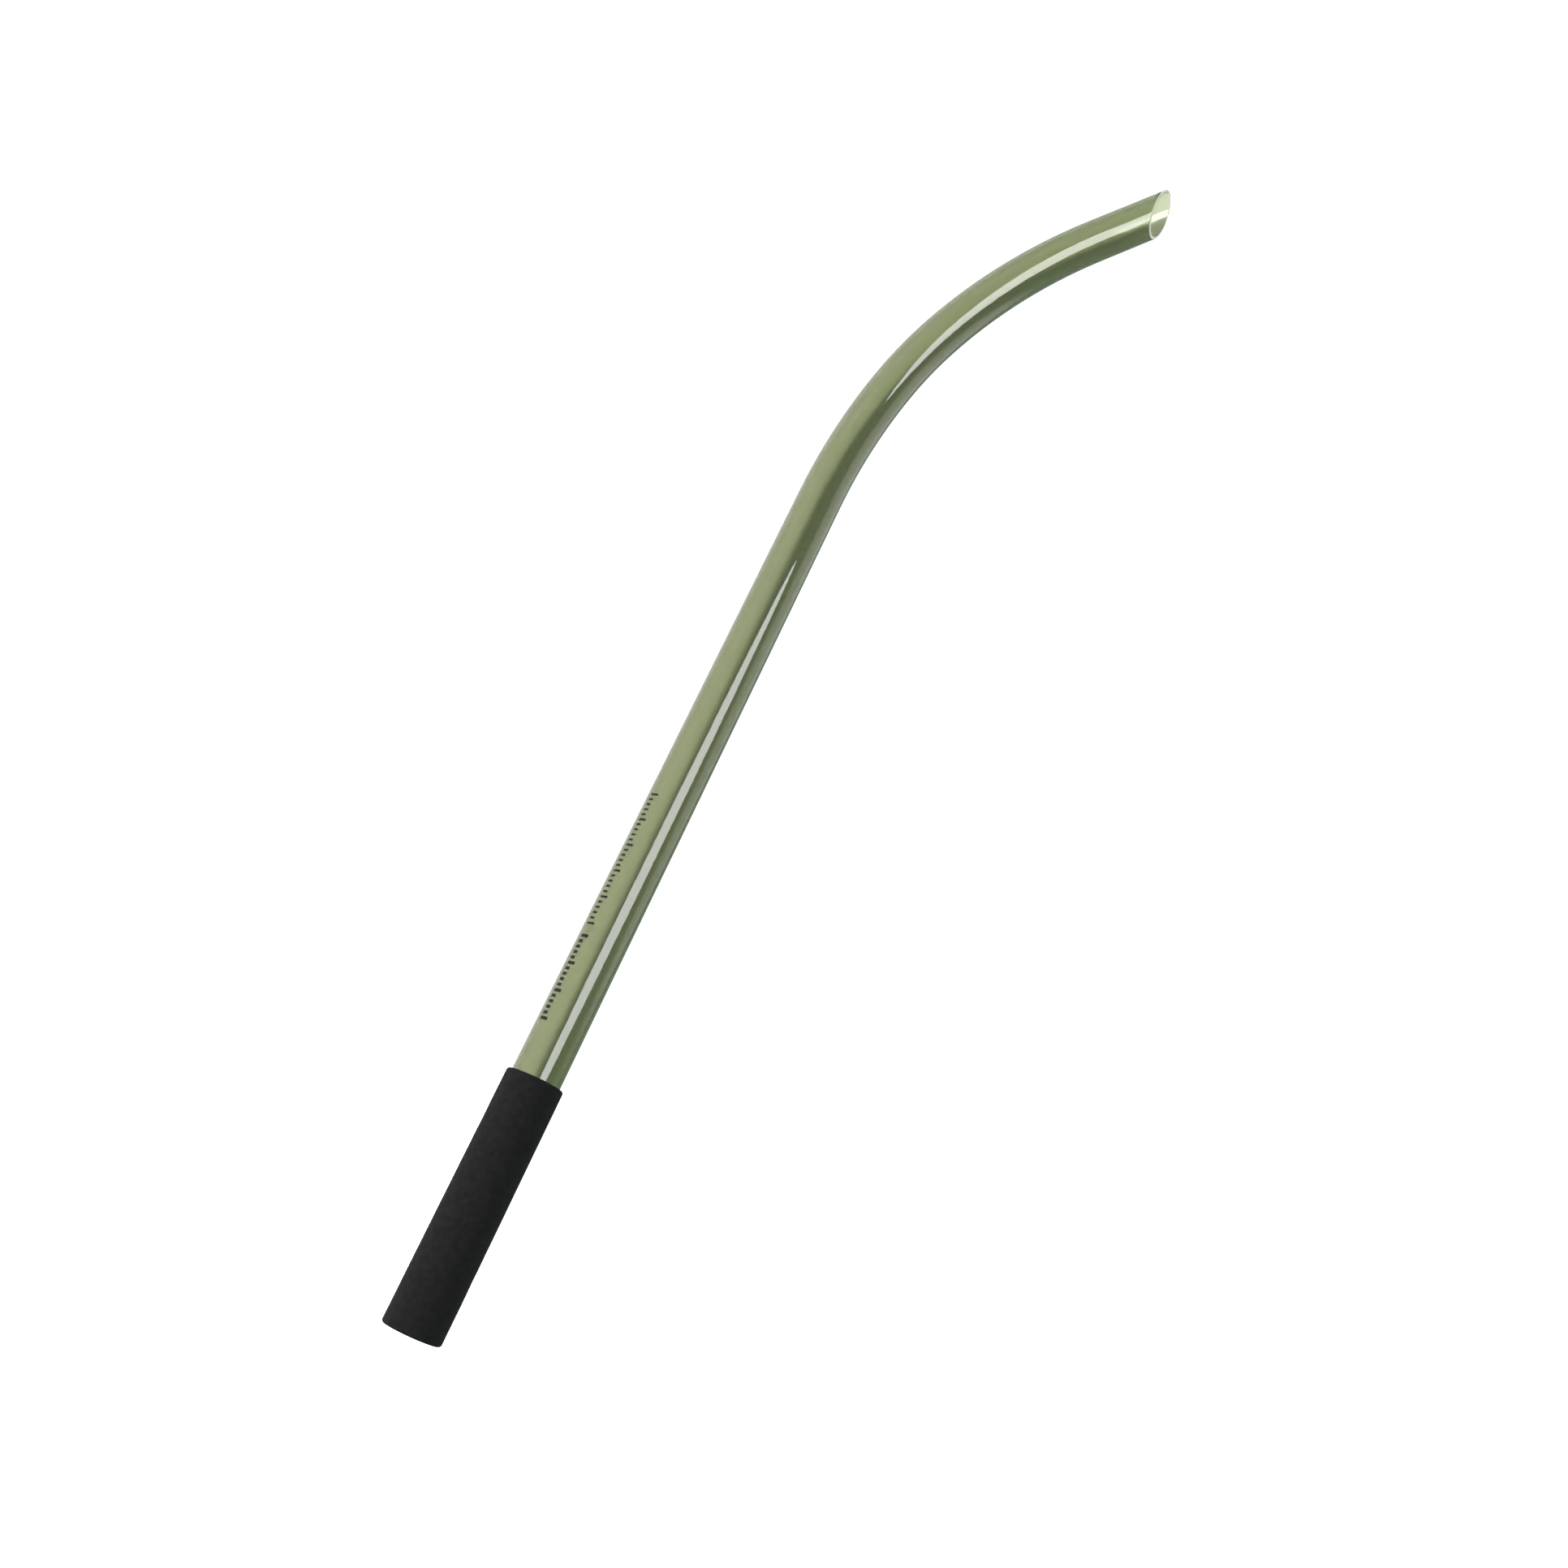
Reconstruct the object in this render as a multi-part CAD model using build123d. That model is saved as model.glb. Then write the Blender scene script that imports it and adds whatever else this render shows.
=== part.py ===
"""Bait throwing stick: a clear bent tube with a slanted mouth, a foam grip and a bung.

The stick lies flat. +Y runs along the straight tube from the butt to the mouth, the tube
bends towards +X, and +Z is up. Everything is drawn with the butt's centre at the origin,
and at the end moved so that the origin is under the middle of the whole stick, at floor
height.
"""

import os
from math import cos, radians, sin

from build123d import *

# Tube: stock extruded tube, bent by heat in easy stages
TUBE_RADIUS = 15.0
WALL = 2.0
STRAIGHT_END = 566.0
BEND_STAGES = [(512.0, 12.1), (380.0, 7.9), (468.0, 5.7), (468.0, 12.7)]  # radius, turn in degrees
TIP_LENGTH = 58.0
LOWER_STAGES = 3  # bend stages in the tube's lower node; the rest is in its upper node

# Mouth: a slanting cut that leaves the tube longer on the outside of the bend, and rolled to face upwards
MOUTH_SLANT = 50.9
MOUTH_ROLL = 24.7

# Grip: foam sleeve stretched over the tube's butt
GRIP_RADIUS = 17.5
GRIP_LENGTH = 147.0
GRIP_EDGE = 1.4

# Bung: moulded stopper that closes the butt and stops the bait
BUNG_HEAD = 3.0
BUNG_LENGTH = 26.0
BUNG_CORE_RADIUS = 12.2
RIB_COUNT = 4
RIB_PITCH = 5.0
RIB_WIDTH = 2.0
BUNG_NOSE = 1.5
BUNG_RIM = 0.5

BORE_RADIUS = TUBE_RADIUS - WALL
TOTAL_TURN = sum(turn for _, turn in BEND_STAGES)


def round_bar(radius, start, end):
    """A round bar on the butt's axis, between two distances from the butt."""
    bar = Cylinder(radius, end - start, align=(Align.CENTER, Align.CENTER, Align.MIN))
    return Pos(0, start, 0) * Rot(X=-90) * bar


def centre_line():
    """The tube's centre line up to the mouth's centre: straight, bend stages, tip."""
    runs = [Line((0, BUNG_HEAD), (0, STRAIGHT_END))]
    for bend_radius, turn in BEND_STAGES:
        runs.append(JernArc(runs[-1] @ 1, runs[-1] % 1, bend_radius, -turn))
    bend_end = runs[-1] @ 1
    runs.append(Line(bend_end, bend_end + runs[-1] % 1 * TIP_LENGTH))
    return runs


def tube_along(runs):
    """A length of tube that follows some runs of the centre line."""
    start = Plane(runs[0] @ 0, z_dir=runs[0] % 0)
    path = Wire(runs)
    outer, bore = (sweep(start * Circle(radius), path=path) for radius in (TUBE_RADIUS, BORE_RADIUS))
    return outer - bore


def make_tube():
    """The tube's lower and upper lengths, which meet in the bend and are one piece in life."""
    runs = centre_line()
    split_at = 1 + LOWER_STAGES
    mouth_centre = runs[-1] @ 1
    runs[-1] = Line(runs[-1] @ 0, mouth_centre + runs[-1] % 1 * 2 * TUBE_RADIUS)
    heading = radians(TOTAL_TURN + MOUTH_SLANT)
    roll = radians(MOUTH_ROLL)
    normal = (sin(heading) * cos(roll), cos(heading) * cos(roll), sin(roll))
    mouth = Plane(mouth_centre, z_dir=normal)
    upper = split(tube_along(runs[split_at:]), bisect_by=mouth, keep=Keep.BOTTOM)
    return tube_along(runs[:split_at]), upper


def make_grip():
    """Foam sleeve with rounded ends."""
    sleeve = fillet(round_bar(GRIP_RADIUS, 0, GRIP_LENGTH).edges(), GRIP_EDGE)
    return sleeve - round_bar(TUBE_RADIUS, 0, GRIP_LENGTH)


def make_bung():
    """Stopper with a head over the tube's end and ribs that grip the bore."""
    head = round_bar(TUBE_RADIUS, 0, BUNG_HEAD)
    core = round_bar(BUNG_CORE_RADIUS, BUNG_HEAD, BUNG_LENGTH)
    bung = chamfer(head.edges().group_by(Axis.Y)[0], BUNG_RIM)
    bung += chamfer(core.edges().group_by(Axis.Y)[-1], BUNG_NOSE)
    for rib in range(RIB_COUNT):
        start = BUNG_HEAD + (rib + 0.4) * RIB_PITCH
        bung += round_bar(BORE_RADIUS, start, start + RIB_WIDTH)
    return bung


def main():
    tube_lower, tube_upper = make_tube()
    pieces = {
        "tube_lower": tube_lower,
        "tube_upper": tube_upper,
        "grip_sleeve": make_grip(),
        "end_bung": make_bung(),
    }
    box = Compound(list(pieces.values())).bounding_box()
    to_origin = Pos(-box.center().X, -box.center().Y, -box.min.Z)
    os.makedirs("parts", exist_ok=True)
    for name, piece in pieces.items():
        export_step(to_origin * piece, f"parts/{name}.step")
    print("the butt's centre is at", to_origin.position)


main()
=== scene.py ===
"""Looks for the bait throwing stick: clear bent tube, foam grip, end bung, printed marks."""

from math import cos, pi, radians, sin

import bpy
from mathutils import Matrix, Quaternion, Vector, noise


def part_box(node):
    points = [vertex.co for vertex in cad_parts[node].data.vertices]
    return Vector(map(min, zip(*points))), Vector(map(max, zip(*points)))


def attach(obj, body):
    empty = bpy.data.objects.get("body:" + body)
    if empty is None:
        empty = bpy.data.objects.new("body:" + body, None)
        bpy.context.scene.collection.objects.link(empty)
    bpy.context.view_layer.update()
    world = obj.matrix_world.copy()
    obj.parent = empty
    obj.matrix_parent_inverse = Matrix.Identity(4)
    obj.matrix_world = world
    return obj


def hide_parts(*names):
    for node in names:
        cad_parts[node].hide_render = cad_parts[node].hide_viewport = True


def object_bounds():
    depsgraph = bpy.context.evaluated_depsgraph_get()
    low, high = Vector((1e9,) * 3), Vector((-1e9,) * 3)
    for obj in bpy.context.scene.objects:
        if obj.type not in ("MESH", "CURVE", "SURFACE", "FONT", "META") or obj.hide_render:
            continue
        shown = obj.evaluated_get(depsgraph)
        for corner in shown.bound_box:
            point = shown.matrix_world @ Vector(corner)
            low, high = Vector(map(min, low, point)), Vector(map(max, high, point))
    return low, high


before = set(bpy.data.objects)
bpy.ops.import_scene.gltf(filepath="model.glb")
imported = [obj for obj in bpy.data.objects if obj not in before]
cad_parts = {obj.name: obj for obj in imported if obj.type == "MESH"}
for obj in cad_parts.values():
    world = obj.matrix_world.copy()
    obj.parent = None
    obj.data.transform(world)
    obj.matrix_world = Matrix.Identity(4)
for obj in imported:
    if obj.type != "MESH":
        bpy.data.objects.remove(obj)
cad_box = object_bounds()

# The frame's own measures, in metres
grip_low, grip_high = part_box("grip_sleeve")
tube_low, tube_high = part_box("tube_lower")
BUTT = Vector(((grip_low.x + grip_high.x) / 2, grip_low.y, (grip_low.z + grip_high.z) / 2))
GRIP_RADIUS = (grip_high.z - grip_low.z) / 2
GRIP_LENGTH = grip_high.y - grip_low.y
TUBE_RADIUS = (tube_high.z - tube_low.z) / 2
TUBE_START = tube_low.y - BUTT.y

# Tube, as the CAD model has it: bend stages are (radius, turn in degrees), other angles are in degrees
WALL = 0.002
STRAIGHT_END = 0.566
BEND_STAGES = [(0.512, 12.1), (0.380, 7.9), (0.468, 5.7), (0.468, 12.7)]
TIP_LENGTH = 0.058
MOUTH_SLANT = 50.9
MOUTH_ROLL = 24.7

# Tube's mesh
TUBE_SIDES = 160
STRAIGHT_STEPS = 40
BEND_STEPS_PER_DEGREE = 2.5
TIP_STEPS = 12
RIM_STEPS = 4
RIM_ROUND = 0.0003

# Frosted band of the mouth's cut: plastic over it, its depth, and its share of the wall from outside
FROST_COVER = 0.00008
FROST_DEPTH = 0.0006
FROST_SHARE = 0.65

# Grip: rounding of its edges at the butt and towards the mouth, gap to the tube, mesh and dents
GRIP_EDGES = (0.0019, 0.0014)
GRIP_GAP = 0.00005
GRIP_SIDES = 180
GRIP_STEPS = 120
EDGE_STEPS = 8
DENT_DEPTH = 0.00012
DENTS_PER_METRE = 90

# Printed scale: (start, strokes, stroke width) of each run, measured from the butt
MARK_RUNS = [(0.178, 16, 0.0019), (0.239, 26, 0.0014)]
MARK_PITCH = 0.0035
MARK_GROUP = 5  # each group of strokes starts with a long one
MARK_FROM = 52  # degrees from the tube's top
MARK_ARC = 22  # degrees that a long stroke takes
MARK_SHORT = 0.65
MARK_STEPS = 8
INK_LIFT = 0.00002
INK_DEPTH = 0.00004

# Clear plastic: tint of the light that its volume lets through, and how much of a lamp's direct light
# gets through one of its skins
TINT = (0.31, 0.36, 0.08, 1)
TINT_DENSITY = 640.0
LAMP_WAY = (0.96, 0.96, 0.96, 1)

# Floor: half its side, its tone, and its glow seen by the camera and by everything else
FLOOR_HALF = 8.0
FLOOR_TONE = (0.92, 0.92, 0.92, 1)
FLOOR_GLOW_SEEN = 1.0
FLOOR_GLOW = 0.3

# Room round the object: its radiance, its walls' tones from the left (-X) to the right, and one pale
# wall low on the right, which starts and is whole at these shares of its direction
ROOM_RADIANCE = 1.58
ROOM_WALLS = [(0.10, (1.0, 0.96, 0.98)), (0.65, (0.27, 0.35, 0.31))]
SIDE_WALL = (0.95, 0.95, 0.95, 1)
SIDE_WAY = (1, 0.8, -0.3)
SIDE_START = 1.10
SIDE_WHOLE = 1.16
WHITE = (1, 1, 1, 1)

# Lamps: angles in degrees, distance and size in metres
HIGHLIGHT = dict(azimuth=67.9, elevation=50.8, distance=16.0, size=(8.3, 11.2), radiance=8.6, roll=-12.6)
KEY = dict(azimuth=275, elevation=45, distance=3.0, size=(1.0, 1.0), radiance=52.0)

# Camera, measured from the butt's centre
CAMERA_AT = Vector((0.1199, 0.0688, 0.8291))
CAMERA_TURN = (19.931, -4.280, 23.231)
CAMERA_LENS = 32.86
CAMERA_SENSOR = 36.0
CAMERA_CLIP = (0.01, 50.0)


def new_object(name, vertices, faces, material, smooth=True):
    """A mesh object with one material."""
    mesh = bpy.data.meshes.new(name)
    mesh.from_pydata(vertices, [], faces)
    mesh.validate()
    mesh.polygons.foreach_set("use_smooth", [smooth] * len(mesh.polygons))
    mesh.materials.append(material)
    made = bpy.data.objects.new(name, mesh)
    bpy.context.scene.collection.objects.link(made)
    return made


def loft(loops, closed):
    """Vertices and quads that join equal loops of points, and the last loop to the first if closed."""
    count = len(loops[0])
    vertices = [point for loop in loops for point in loop]
    faces = []
    for k in range(len(loops) if closed else len(loops) - 1):
        here, there = k * count, (k + 1) % len(loops) * count
        for i in range(count):
            j = (i + 1) % count
            faces.append((here + i, there + i, there + j, here + j))
    return vertices, faces


class Nodes:
    """A short way to build the node tree of a material or a world."""

    def __init__(self, owner, output="ShaderNodeOutputMaterial"):
        self.owner = owner
        self.owner.use_nodes = True
        self.tree = self.owner.node_tree
        self.tree.nodes.clear()
        self.output = self.add(output)

    def add(self, kind, **inputs):
        """A new node, with constants for some of its inputs."""
        node = self.tree.nodes.new(kind)
        for key, value in inputs.items():
            node.inputs[key.replace("_", " ")].default_value = value
        return node

    def link(self, source, target):
        """A link from one node's output to another's input."""
        self.tree.links.new(source, target)

    def surface(self, source):
        """Makes a shader the surface that the tree puts out."""
        self.link(source, self.output.inputs["Surface"])


def material_nodes(name):
    """The node tree of a new material."""
    return Nodes(bpy.data.materials.new(name))


def ramp(nodes, source, stops):
    """A colour ramp fed by source, with two stops of (position, grey or colour)."""
    node = nodes.add("ShaderNodeValToRGB")
    for element, (position, value) in zip(node.color_ramp.elements, stops):
        element.position = position
        element.color = (*value, 1) if isinstance(value, tuple) else (value, value, value, 1)
    nodes.link(source, node.inputs["Fac"])
    return node.outputs["Color"]


def grain(nodes, scale, detail):
    """Noise fixed in space, as fine as its scale per metre."""
    place = nodes.add("ShaderNodeNewGeometry")
    texture = nodes.add("ShaderNodeTexNoise", Scale=scale, Detail=detail)
    nodes.link(place.outputs["Position"], texture.inputs["Vector"])
    return texture.outputs["Fac"]


def add_bump(nodes, shader, height, strength, distance):
    """Bumps on a shader's surface, as high as height says."""
    bump = nodes.add("ShaderNodeBump", Strength=strength, Distance=distance)
    nodes.link(height, bump.inputs["Height"])
    nodes.link(bump.outputs["Normal"], shader.inputs["Normal"])


def clear_plastic():
    """Smoke-green clear plastic: its tint comes from the length of the way through the wall."""
    nodes = material_nodes("clear_plastic")
    shader = nodes.add(
        "ShaderNodeBsdfPrincipled",
        Base_Color=WHITE,
        Transmission_Weight=1.0,
        IOR=1.55,
    )
    haze = ramp(nodes, grain(nodes, 60.0, 4.0), [(0.35, 0.015), (0.75, 0.04)])
    nodes.link(haze, shader.inputs["Roughness"])
    lamp_way = nodes.add("ShaderNodeBsdfTransparent", Color=LAMP_WAY)
    path = nodes.add("ShaderNodeLightPath")
    mix = nodes.add("ShaderNodeMixShader")
    nodes.link(path.outputs["Is Shadow Ray"], mix.inputs[0])
    nodes.link(shader.outputs["BSDF"], mix.inputs[1])
    nodes.link(lamp_way.outputs["BSDF"], mix.inputs[2])
    nodes.surface(mix.outputs["Shader"])
    tint = nodes.add("ShaderNodeVolumeAbsorption", Color=TINT, Density=TINT_DENSITY)
    nodes.link(tint.outputs["Volume"], nodes.output.inputs["Volume"])
    return nodes.owner


def sawn_plastic():
    """The same plastic where the saw has frosted it: dull, matt and finely scratched."""
    nodes = material_nodes("sawn_plastic")
    shader = nodes.add("ShaderNodeBsdfPrincipled", Roughness=0.7)
    tones = [(0.3, (0.42, 0.49, 0.31)), (0.7, (0.58, 0.65, 0.45))]
    scratches = ramp(nodes, grain(nodes, 1800.0, 3.0), tones)
    nodes.link(scratches, shader.inputs["Base Color"])
    nodes.surface(shader.outputs["BSDF"])
    return nodes.owner


def print_ink():
    """Dark ink, a little paler where it has worn."""
    nodes = material_nodes("print_ink")
    shader = nodes.add("ShaderNodeBsdfPrincipled", Roughness=0.55, Specular_IOR_Level=0.15)
    tones = [(0.5, (0.004, 0.005, 0.004)), (0.8, (0.03, 0.036, 0.022))]
    wear = ramp(nodes, grain(nodes, 900.0, 3.0), tones)
    nodes.link(wear, shader.inputs["Base Color"])
    nodes.surface(shader.outputs["BSDF"])
    return nodes.owner


def black_foam():
    """Closed-cell foam: matt black with fine pits."""
    nodes = material_nodes("black_foam")
    shader = nodes.add("ShaderNodeBsdfPrincipled", Roughness=0.9, Specular_IOR_Level=0.1)
    dust = ramp(nodes, grain(nodes, 260.0, 5.0), [(0.35, 0.0065), (0.7, 0.0095)])
    nodes.link(dust, shader.inputs["Base Color"])
    place = nodes.add("ShaderNodeNewGeometry")
    cells = nodes.add("ShaderNodeTexVoronoi", Scale=1400.0)
    nodes.link(place.outputs["Position"], cells.inputs["Vector"])
    add_bump(nodes, shader, cells.outputs["Distance"], strength=0.35, distance=0.0003)
    nodes.surface(shader.outputs["BSDF"])
    return nodes.owner


def moulded_plastic():
    """Black moulded plastic with a fine spark texture."""
    nodes = material_nodes("moulded_plastic")
    shader = nodes.add("ShaderNodeBsdfPrincipled", Base_Color=(0.022, 0.022, 0.024, 1))
    sparks = grain(nodes, 2400.0, 2.0)
    nodes.link(ramp(nodes, sparks, [(0.3, 0.42), (0.7, 0.6)]), shader.inputs["Roughness"])
    add_bump(nodes, shader, sparks, strength=0.25, distance=0.0001)
    nodes.surface(shader.outputs["BSDF"])
    return nodes.owner


def mouth_normal():
    """The mouth plane's outward normal."""
    heading = radians(sum(turn for _, turn in BEND_STAGES) + MOUTH_SLANT)
    roll = radians(MOUTH_ROLL)
    return Vector((sin(heading) * cos(roll), cos(heading) * cos(roll), sin(roll)))


def centre_line():
    """Points with headings along the tube, from its butt end to the tip's start."""
    at, heading = Vector((0, TUBE_START, 0)), 0.0
    stations = [(at.copy(), heading)]
    straight = STRAIGHT_END - TUBE_START
    for k in range(1, STRAIGHT_STEPS + 1):
        stations.append((at + Vector((0, straight * k / STRAIGHT_STEPS, 0)), heading))
    at = stations[-1][0].copy()
    for radius, turn in BEND_STAGES:
        centre = at + radius * Vector((cos(heading), -sin(heading), 0))
        steps = round(turn * BEND_STEPS_PER_DEGREE)
        for k in range(1, steps + 1):
            angle = heading + radians(turn) * k / steps
            stations.append((centre + radius * Vector((-cos(angle), sin(angle), 0)), angle))
        at, heading = stations[-1][0].copy(), stations[-1][1]
    return stations


def ring(at, heading, radius):
    """A ring of points round the centre line."""
    side = Vector((cos(heading), -sin(heading), 0))
    up = Vector((0, 0, 1))
    angles = [2 * pi * k / TUBE_SIDES for k in range(TUBE_SIDES)]
    return [BUTT + at + radius * (cos(a) * side + sin(a) * up) for a in angles]


def tip_ring(tip_start, heading, radius, share, shift=0.0):
    """A ring in the tip that slants towards the mouth's plane, and lies in it where share is 1."""
    along = Vector((sin(heading), cos(heading), 0))
    normal = mouth_normal()
    points = []
    for point in ring(tip_start, heading, radius):
        off = point - BUTT - tip_start
        reach = TIP_LENGTH - off.dot(normal) / along.dot(normal)
        points.append(point + along * (share * reach + shift))
    return points


def make_tube(material):
    """The whole tube as one seamless wall, outside and inside, with a rounded mouth rim."""
    stations = centre_line()
    tip_start, heading = stations[-1]
    shares = [k / TIP_STEPS for k in range(1, TIP_STEPS)]
    inner = TUBE_RADIUS - WALL
    loops = [ring(at, turn, TUBE_RADIUS) for at, turn in stations]
    loops += [tip_ring(tip_start, heading, TUBE_RADIUS, share) for share in shares]
    for radius, sign in ((TUBE_RADIUS, 1), (inner, -1)):
        for k in range(RIM_STEPS + 1):
            angle = (k if sign > 0 else RIM_STEPS - k) / RIM_STEPS * pi / 2
            inset = RIM_ROUND * (1 - cos(angle))
            place = -RIM_ROUND * (1 - sin(angle))
            loops.append(tip_ring(tip_start, heading, radius - sign * inset, 1, place))
    loops += [tip_ring(tip_start, heading, inner, share) for share in reversed(shares)]
    loops += [ring(at, turn, inner) for at, turn in reversed(stations)]
    vertices, faces = loft(loops, closed=True)
    tube = new_object("clear_tube", vertices, faces, material)
    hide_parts("tube_lower", "tube_upper")
    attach(tube, "root")


def make_mouth_edge(material):
    """The frosted band that the saw left, just under the cut face of the mouth."""
    tip_start, heading = centre_line()[-1]
    outer = TUBE_RADIUS - RIM_ROUND / 2
    inner = TUBE_RADIUS - FROST_SHARE * WALL
    low, high = -FROST_DEPTH, -FROST_COVER
    section = [(outer, low), (outer, high), (inner, high), (inner, low)]
    loops = [tip_ring(tip_start, heading, radius, 1, place) for radius, place in section]
    vertices, faces = loft(loops, closed=True)
    edge = new_object("mouth_edge", vertices, faces, material, smooth=False)
    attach(edge, "root")


def add_stroke(vertices, faces, low, width, reach):
    """One stroke of ink round the tube's side, closed all round, reach degrees long."""
    base = len(vertices)
    for j in range(MARK_STEPS + 1):
        angle = radians(MARK_FROM - reach * j / MARK_STEPS)
        for radius in (TUBE_RADIUS + INK_LIFT, TUBE_RADIUS + INK_LIFT + INK_DEPTH):
            for y in (low, low + width):
                vertices.append(BUTT + Vector((-sin(angle) * radius, y, cos(angle) * radius)))
    for j in range(MARK_STEPS):
        here = base + 4 * j
        there = here + 4
        for p, q in ((0, 1), (1, 3), (3, 2), (2, 0)):
            faces.append((here + p, here + q, there + q, there + p))
    first, last = base, base + 4 * MARK_STEPS
    faces.append((first, first + 2, first + 3, first + 1))
    faces.append((last, last + 1, last + 3, last + 2))


def make_marks(material):
    """A printed scale in place of the maker's lettering: two runs of fine strokes, some of them long."""
    vertices, faces = [], []
    for start, count, width in MARK_RUNS:
        for k in range(count):
            reach = MARK_ARC * (1 if k % MARK_GROUP == 0 else MARK_SHORT)
            add_stroke(vertices, faces, start + k * MARK_PITCH, width, reach)
    marks = new_object("scale_marks", vertices, faces, material, smooth=False)
    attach(marks, "root")


def grip_profile(inner):
    """The grip's section from the butt to its front and back along the bore: (radius, distance)."""
    back, front = GRIP_EDGES
    profile = []
    for k in range(EDGE_STEPS + 1):
        angle = k / EDGE_STEPS * pi / 2
        profile.append((GRIP_RADIUS - back * (1 - sin(angle)), back * (1 - cos(angle))))
    for k in range(1, GRIP_STEPS):
        profile.append((GRIP_RADIUS, back + (GRIP_LENGTH - back - front) * k / GRIP_STEPS))
    for k in range(EDGE_STEPS + 1):
        angle = (1 - k / EDGE_STEPS) * pi / 2
        y = GRIP_LENGTH - front * (1 - cos(angle))
        profile.append((GRIP_RADIUS - front * (1 - sin(angle)), y))
    return profile + [(inner, GRIP_LENGTH), (inner, 0)]


def make_grip(material):
    """The foam sleeve, with soft rounded ends and a slightly uneven skin."""
    inner = TUBE_RADIUS + GRIP_GAP
    loops = []
    for radius, y in grip_profile(inner):
        loop = []
        for k in range(GRIP_SIDES):
            angle = 2 * pi * k / GRIP_SIDES
            spot = Vector((cos(angle) * radius, y, sin(angle) * radius))
            if radius > inner:
                dent = DENT_DEPTH * noise.fractal(spot * DENTS_PER_METRE, 1.0, 2.0, 3)
                spot += Vector((cos(angle), 0, sin(angle))) * min(dent, 0)
            loop.append(BUTT + spot)
        loops.append(loop)
    vertices, faces = loft(loops, closed=True)
    faces = [tuple(reversed(face)) for face in faces]
    grip = new_object("foam_grip", vertices, faces, material)
    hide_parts("grip_sleeve")
    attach(grip, "root")


def dress_bung(material):
    """The CAD model's bung shows as it is, in its own material."""
    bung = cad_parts["end_bung"]
    bung.data.materials.clear()
    bung.data.materials.append(material)


def make_stage():
    """Plain pale floor with a glow, so that it is clear white where nothing covers it."""
    nodes = material_nodes("floor_white")
    shader = nodes.add("ShaderNodeBsdfDiffuse", Color=FLOOR_TONE)
    glow = nodes.add("ShaderNodeEmission", Color=WHITE)
    path = nodes.add("ShaderNodeLightPath")
    strength = nodes.add("ShaderNodeMapRange", To_Min=FLOOR_GLOW, To_Max=FLOOR_GLOW_SEEN)
    nodes.link(path.outputs["Is Camera Ray"], strength.inputs["Value"])
    nodes.link(strength.outputs["Result"], glow.inputs["Strength"])
    both = nodes.add("ShaderNodeAddShader")
    nodes.link(shader.outputs["BSDF"], both.inputs[0])
    nodes.link(glow.outputs["Emission"], both.inputs[1])
    nodes.surface(both.outputs["Shader"])
    far = FLOOR_HALF
    corners = [(-far, -far, 0), (far, -far, 0), (far, far, 0), (-far, far, 0)]
    floor = new_object("floor", corners, [(0, 1, 2, 3)], nodes.owner, smooth=False)
    floor.visible_glossy = False


def softbox(name, azimuth, elevation, distance, size, radiance, roll=0.0):
    """A round or oval softbox that faces the object. Azimuth is in degrees from +Y towards +X."""
    turn, rise = radians(azimuth), radians(elevation)
    away = Vector((cos(rise) * sin(turn), cos(rise) * cos(turn), sin(rise)))
    data = bpy.data.lights.new(name, "AREA")
    data.shape = "ELLIPSE"
    data.size, data.size_y = size
    area = size[0] * size[1] * pi / 4
    data.energy = radiance * pi * area
    light = bpy.data.objects.new(name, data)
    light.location = (cad_box[0] + cad_box[1]) / 2 + distance * away
    light.rotation_mode = "QUATERNION"
    facing = (-away).to_track_quat("-Z", "Y")
    light.rotation_quaternion = facing @ Quaternion((0, 0, 1), radians(roll))
    light.visible_camera = False
    bpy.context.scene.collection.objects.link(light)
    return light


def blend(nodes, factor, low, high):
    """A colour that goes from the output low to the colour high as factor goes from 0 to 1."""
    mix = nodes.add("ShaderNodeMix")
    mix.data_type = "RGBA"
    mix.inputs["B"].default_value = high
    nodes.link(low, mix.inputs["A"])
    nodes.link(factor, mix.inputs["Factor"])
    return mix.outputs["Result"]


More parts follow.
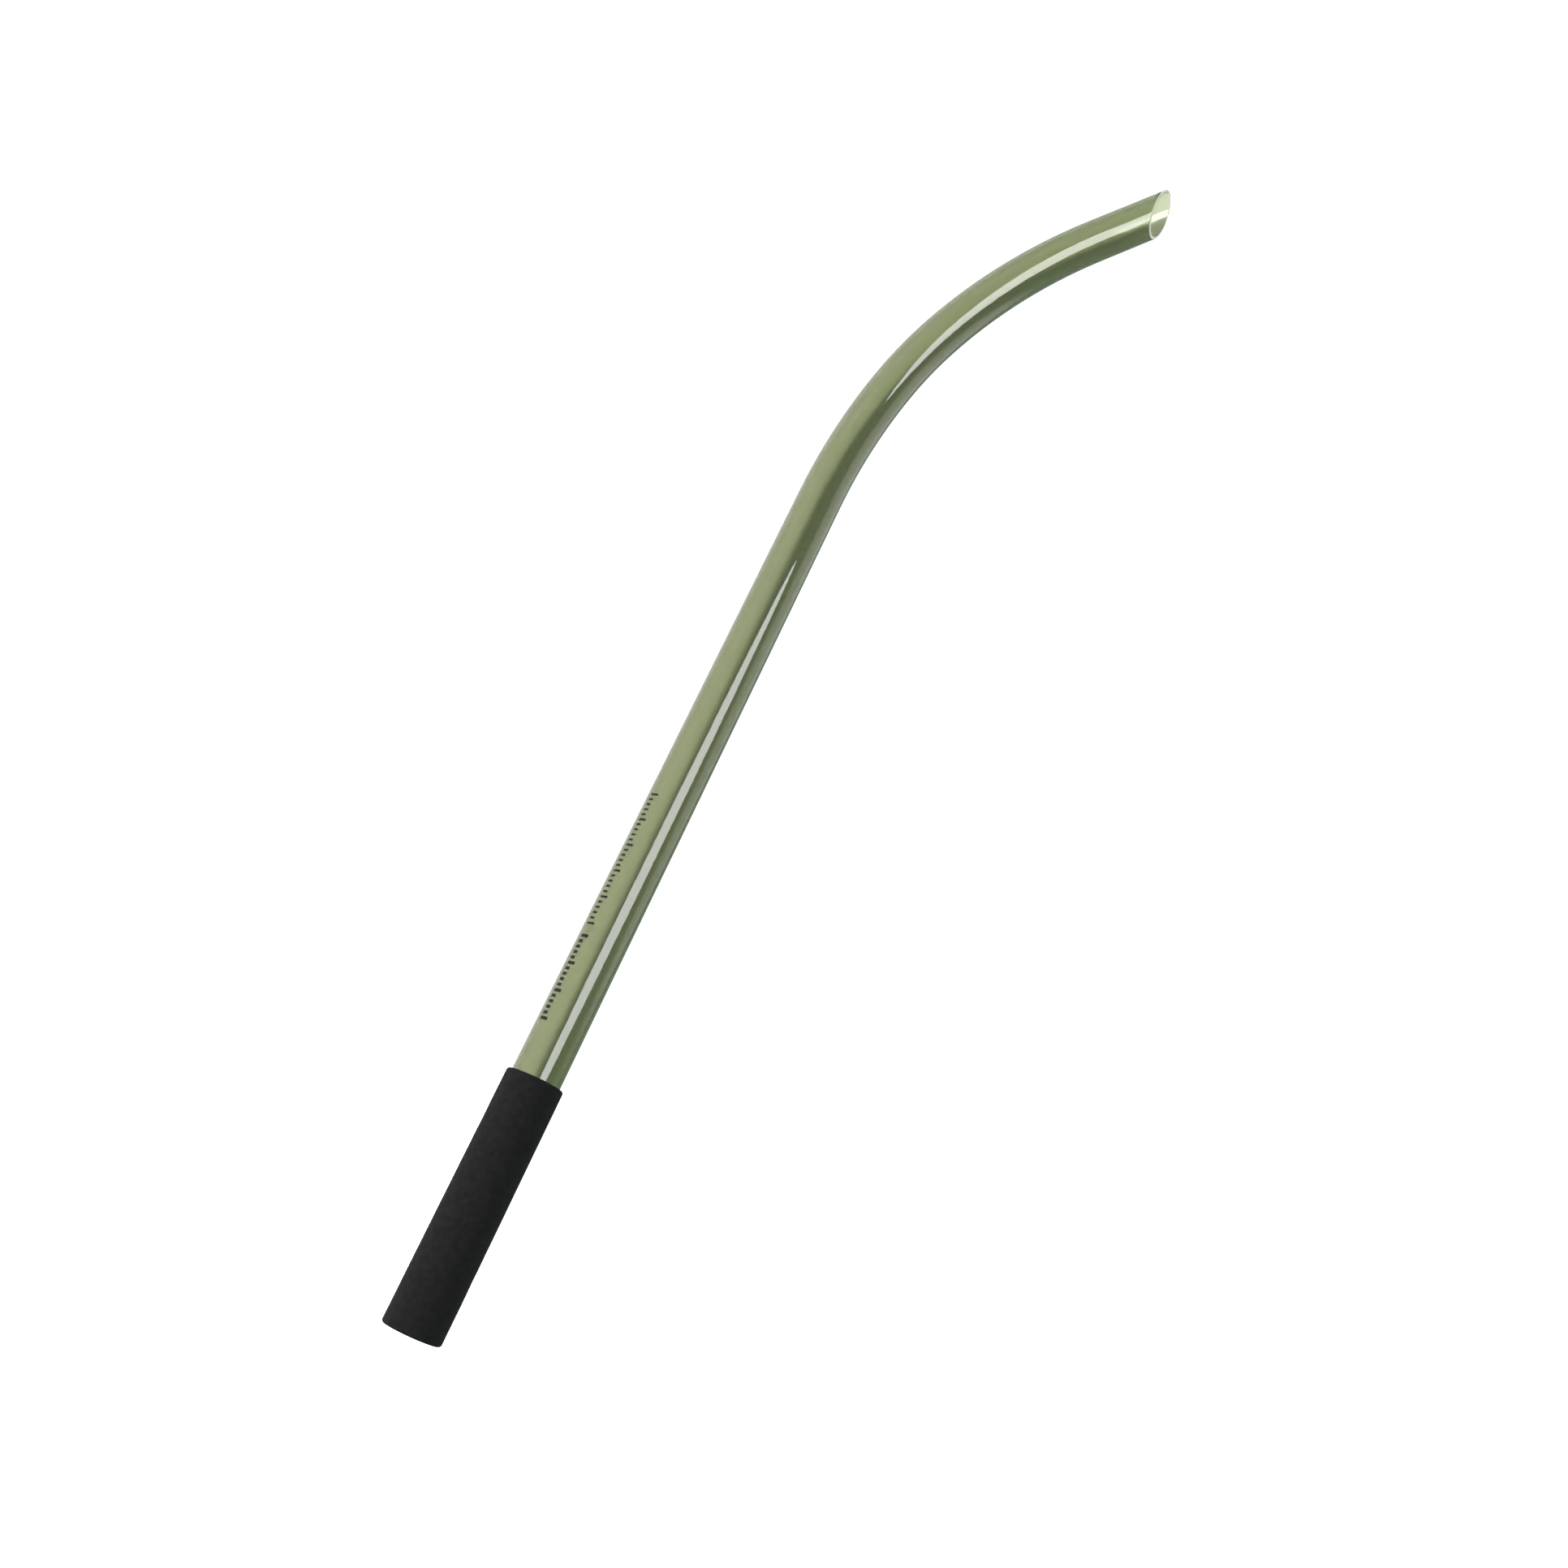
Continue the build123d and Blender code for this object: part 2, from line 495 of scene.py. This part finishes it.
def make_room():
    """White room with a darker right-hand side and one pale wall there, plain white to the camera."""
    nodes = Nodes(bpy.data.worlds.new("studio"), "ShaderNodeOutputWorld")
    way = nodes.add("ShaderNodeTexCoord").outputs["Generated"]
    split = nodes.add("ShaderNodeSeparateXYZ")
    nodes.link(way, split.inputs["Vector"])
    across = nodes.add("ShaderNodeMapRange", From_Min=-1)
    nodes.link(split.outputs["X"], across.inputs["Value"])
    walls = ramp(nodes, across.outputs["Result"], ROOM_WALLS)
    towards_side = nodes.add("ShaderNodeVectorMath")
    towards_side.operation = "DOT_PRODUCT"
    towards_side.inputs[1].default_value = SIDE_WAY
    nodes.link(way, towards_side.inputs[0])
    side = nodes.add("ShaderNodeMapRange", From_Min=SIDE_START, From_Max=SIDE_WHOLE)
    nodes.link(towards_side.outputs["Value"], side.inputs["Value"])
    room = blend(nodes, side.outputs["Result"], walls, SIDE_WALL)
    path = nodes.add("ShaderNodeLightPath")
    seen = blend(nodes, path.outputs["Is Camera Ray"], room, WHITE)
    back = nodes.add("ShaderNodeBackground", Strength=ROOM_RADIANCE)
    nodes.link(seen, back.inputs["Color"])
    nodes.surface(back.outputs["Background"])
    bpy.context.scene.world = nodes.owner
    bpy.context.scene.view_settings.view_transform = "Standard"


def make_lamps():
    """A large oval lamp that makes only highlights, and a soft key that lights only matt surfaces."""
    highlight = softbox("highlight", **HIGHLIGHT)
    highlight.visible_diffuse = False
    highlight.visible_transmission = False
    key = softbox("key", **KEY)
    key.visible_glossy = False
    key.visible_transmission = False


def make_camera():
    """Camera at the photograph's angle."""
    data = bpy.data.cameras.new("camera")
    data.lens = CAMERA_LENS
    data.sensor_width = CAMERA_SENSOR
    data.clip_start, data.clip_end = CAMERA_CLIP
    camera = bpy.data.objects.new("camera", data)
    camera.location = BUTT + CAMERA_AT
    camera.rotation_euler = [radians(angle) for angle in CAMERA_TURN]
    bpy.context.scene.collection.objects.link(camera)
    bpy.context.scene.camera = camera


make_camera()
make_room()
make_lamps()
make_stage()
make_tube(clear_plastic())
make_mouth_edge(sawn_plastic())
make_marks(print_ink())
make_grip(black_foam())
dress_bung(moulded_plastic())
